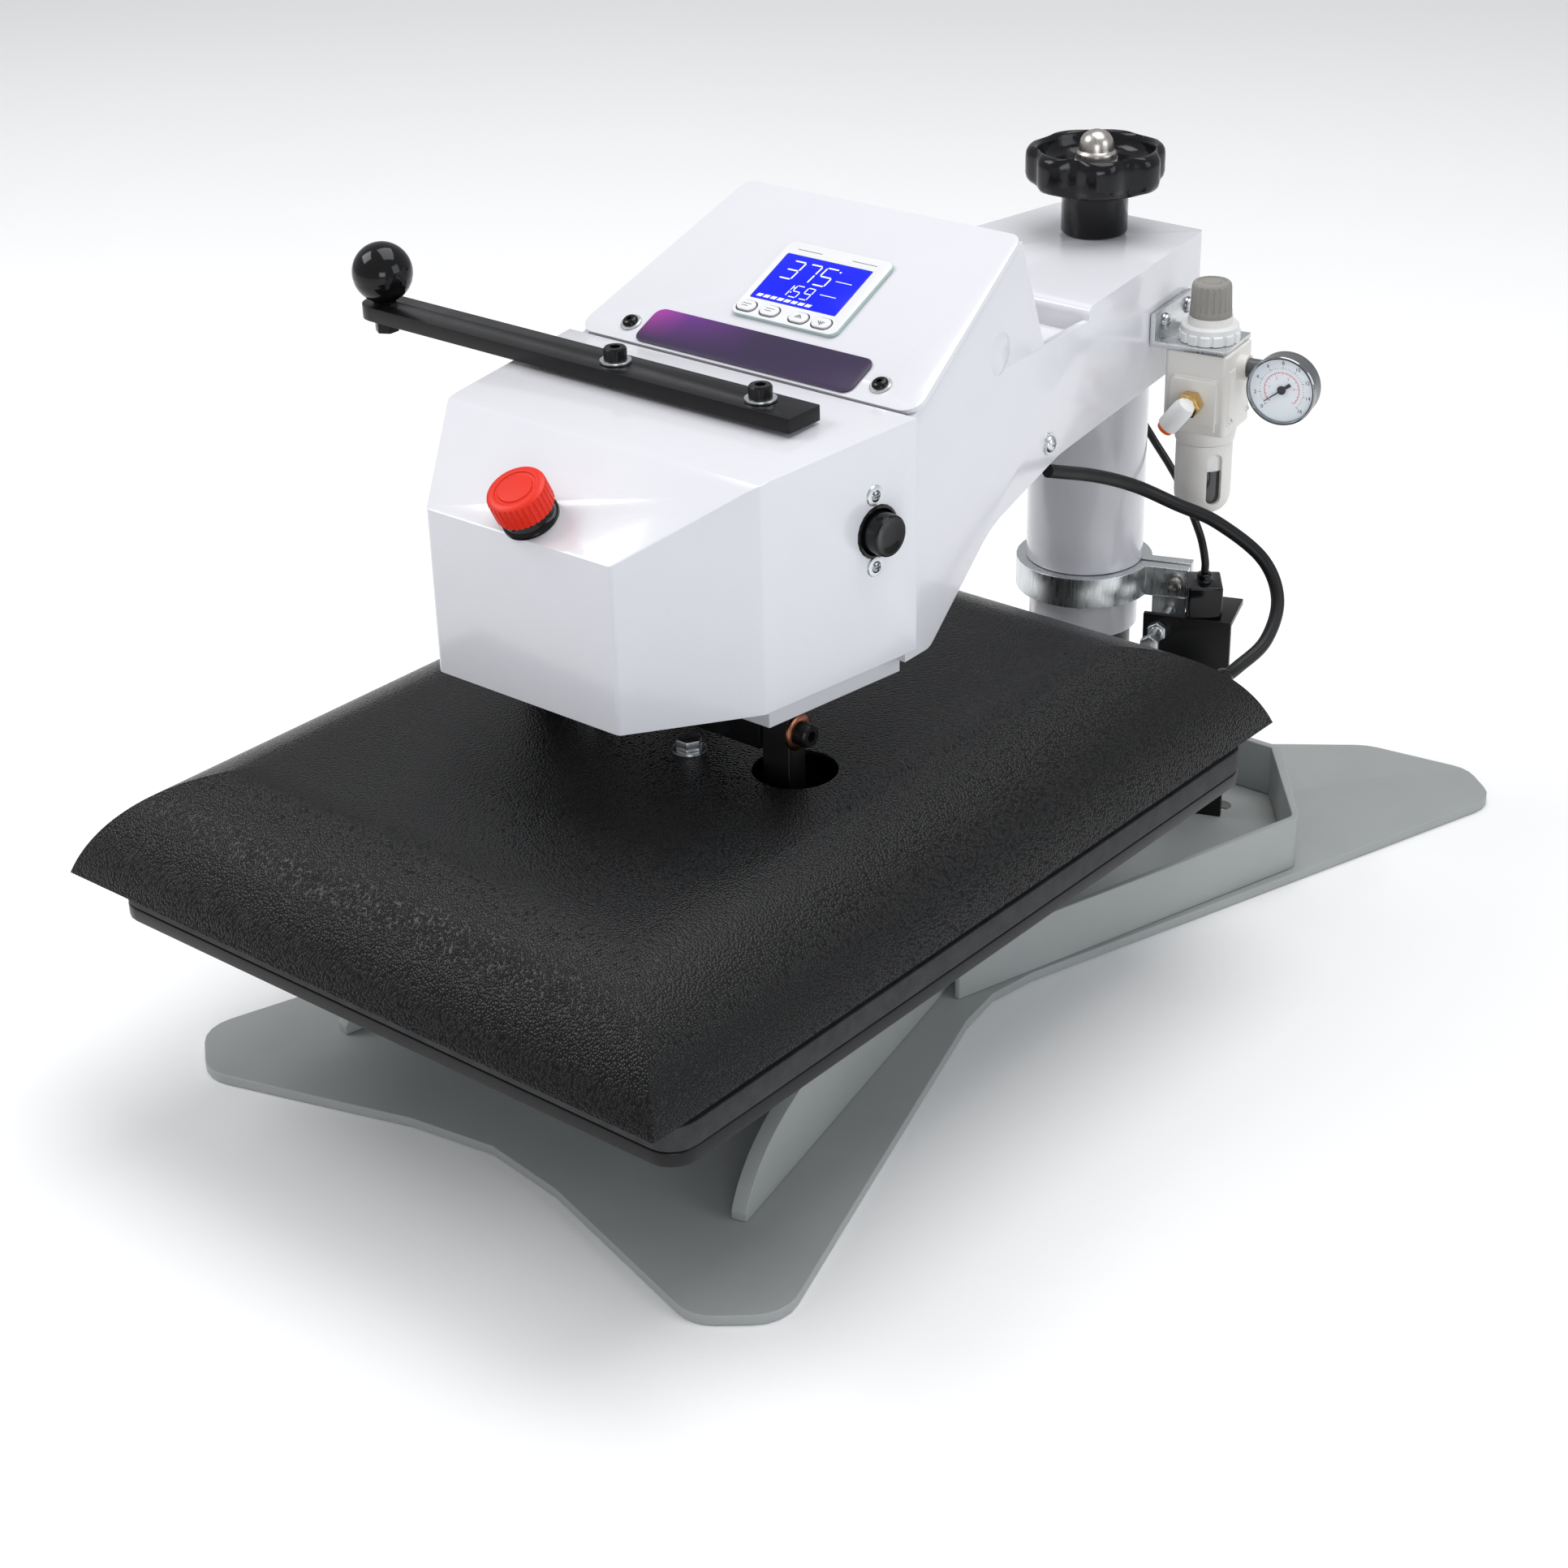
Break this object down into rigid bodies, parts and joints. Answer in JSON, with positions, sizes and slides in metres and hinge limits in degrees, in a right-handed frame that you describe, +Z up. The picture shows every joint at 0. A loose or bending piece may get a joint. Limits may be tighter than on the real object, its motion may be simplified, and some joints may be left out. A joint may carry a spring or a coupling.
{
  "type": "heat press",
  "caption": "Swing-away pneumatic heat press with a rolled-edge shrouded platen over a silicone pad on a forked base, box head with sloping console, top handwheel and side air regulator.",
  "frame": {"origin": "on the floor under the swing post, on the underside of the base plate", "axes": "+Z up, the operator stands at -Y facing +Y, +X is the operator's right"},
  "size_m": [0.4755, 0.8122, 0.4425],
  "materials": {
    "grey_enamel": "satin grey enamel",
    "white_enamel": "gloss white powder coat",
    "black_enamel": "black powder coat",
    "black_texture": "coarse textured black powder coat",
    "dark_plate": "dark painted plate",
    "silicone": "charcoal silicone sponge",
    "zinc": "bright zinc plate",
    "steel": "turned steel",
    "aluminium": "cast aluminium",
    "copper_bolt": "copper-coloured hardware",
    "black_plastic": "gloss black plastic",
    "red_plastic": "gloss red plastic",
    "key_plastic": "soft grey membrane",
    "overlay": "clear-edged white overlay",
    "lcd": "backlit blue display",
    "label": "printed purple film",
    "grey_plastic": "grey moulded plastic",
    "ivory_plastic": "ivory moulded body",
    "cast_black": "black cast wheel",
    "gauge_steel": "painted gauge case",
    "cable": "black cable jacket"
  },
  "bodies": {
    "stand": {"base_plate": "grey_enamel", "rear_tray": "grey_enamel", "support_rib_right": "grey_enamel", "support_rib_left": "grey_enamel", "table_carrier": "grey_enamel", "lower_table": "black_enamel", "silicone_pad": "silicone", "fixed_post": "black_enamel", "sensor_bracket": "black_enamel", "home_sensor": "black_plastic", "swing_stop_bolt": "zinc", "sensor_cable": "cable"},
    "sleeve": {"swing_sleeve": "white_enamel", "clamp_collar": "zinc", "collar_screw": "steel", "lift_nut": "steel"},
    "head": {"air_cylinder": "aluminium", "air_elbow": "ivory_plastic", "button_housing_left": "black_plastic", "button_housing_right": "black_plastic", "console_label": "label", "console_plate": "white_enamel", "console_screw_left": "black_enamel", "console_screw_right": "black_enamel", "display_overlay": "overlay", "estop_base": "black_plastic", "filter_bowl": "ivory_plastic", "front_cover": "white_enamel", "handle_bar": "black_enamel", "handle_knob": "black_plastic", "handle_screw_1": "zinc", "handle_screw_2": "zinc", "handle_stud": "black_enamel", "heater_cable": "cable", "lcd_window": "lcd", "post_tube": "white_enamel", "press_chassis": "white_enamel", "pressure_gauge": "gauge_steel", "regulator_body": "ivory_plastic", "regulator_bracket": "zinc", "swing_arm": "white_enamel"},
    "wheel": {"handwheel": "cast_black", "wheel_nut": "steel", "lift_screw": "steel"},
    "platen": {"heat_platen": "dark_plate", "platen_shroud": "black_texture", "clevis_right": "black_enamel", "clevis_left": "black_enamel", "clevis_bolt_right": "copper_bolt", "clevis_bolt_left": "copper_bolt", "press_yoke": "black_enamel"},
    "estop": {"estop_cap": "red_plastic"},
    "button_right": {"palm_button_right": "black_plastic"},
    "button_left": {"palm_button_left": "black_plastic"},
    "key_a": {"key_1": "key_plastic"},
    "key_b": {"key_2": "key_plastic"},
    "key_c": {"key_3": "key_plastic"},
    "key_d": {"key_4": "key_plastic"},
    "air_knob": {"regulator_knob": "grey_plastic"},
    "needle": {"gauge_needle": "black_enamel"}
  },
  "joints": [
    {"name": "head_swing", "type": "hinge", "parent": "stand", "child": "sleeve", "pos_m": [0, 0, 0.2], "axis": [0, 0, 1], "range_deg": [0, 90]},
    {"name": "head_height", "type": "slide", "parent": "sleeve", "child": "head", "axis": [0, 0, 1], "range_m": [0, 0.02]},
    {"name": "handwheel_turn", "type": "hinge", "parent": "head", "child": "wheel", "pos_m": [0, 0, 0.41], "axis": [0, 0, 1], "range_deg": [0, 1441]},
    {"name": "platen_press", "type": "slide", "parent": "head", "child": "platen", "axis": [0, 0, 1], "range_m": [-0.0047, 0], "stiffness_N_per_m": 4000, "springref_m": 0.08},
    {"name": "estop_press", "type": "slide", "parent": "head", "child": "estop", "axis": [0, -0.464, 0.8858], "range_m": [-0.004, 0], "stiffness_N_per_m": 500, "springref_m": 0.003},
    {"name": "button_right_press", "type": "slide", "parent": "head", "child": "button_right", "axis": [0.9923, -0.1238, 0], "range_m": [-0.004, 0], "stiffness_N_per_m": 500, "springref_m": 0.002},
    {"name": "button_left_press", "type": "slide", "parent": "head", "child": "button_left", "axis": [-0.9923, -0.1238, 0], "range_m": [-0.004, 0], "stiffness_N_per_m": 500, "springref_m": 0.002},
    {"name": "key_a_press", "type": "slide", "parent": "head", "child": "key_a", "axis": [0, -0.4245, 0.9054], "range_m": [-0.0004, 0], "stiffness_N_per_m": 1000, "springref_m": 0.0004},
    {"name": "key_b_press", "type": "slide", "parent": "head", "child": "key_b", "axis": [0, -0.4245, 0.9054], "range_m": [-0.0004, 0], "stiffness_N_per_m": 1000, "springref_m": 0.0004},
    {"name": "key_c_press", "type": "slide", "parent": "head", "child": "key_c", "axis": [0, -0.4245, 0.9054], "range_m": [-0.0004, 0], "stiffness_N_per_m": 1000, "springref_m": 0.0004},
    {"name": "key_d_press", "type": "slide", "parent": "head", "child": "key_d", "axis": [0, -0.4245, 0.9054], "range_m": [-0.0004, 0], "stiffness_N_per_m": 1000, "springref_m": 0.0004},
    {"name": "air_knob_turn", "type": "hinge", "parent": "head", "child": "air_knob", "pos_m": [0.0925, -0.0115, 0.36], "axis": [0, 0, 1], "range_deg": [-360, 360]},
    {"name": "gauge_needle_turn", "type": "hinge", "parent": "head", "child": "needle", "pos_m": [0.15453, -0.03238, 0.3145], "axis": [-0.2142, 0.9768, 0], "range_deg": [0, 270], "stiffness_Nm_per_rad": 0.00002}
  ],
  "couplings": [
    {"joint": "handwheel_turn", "follows": "head_height", "rad_per_m": 1256.6}
  ]
}
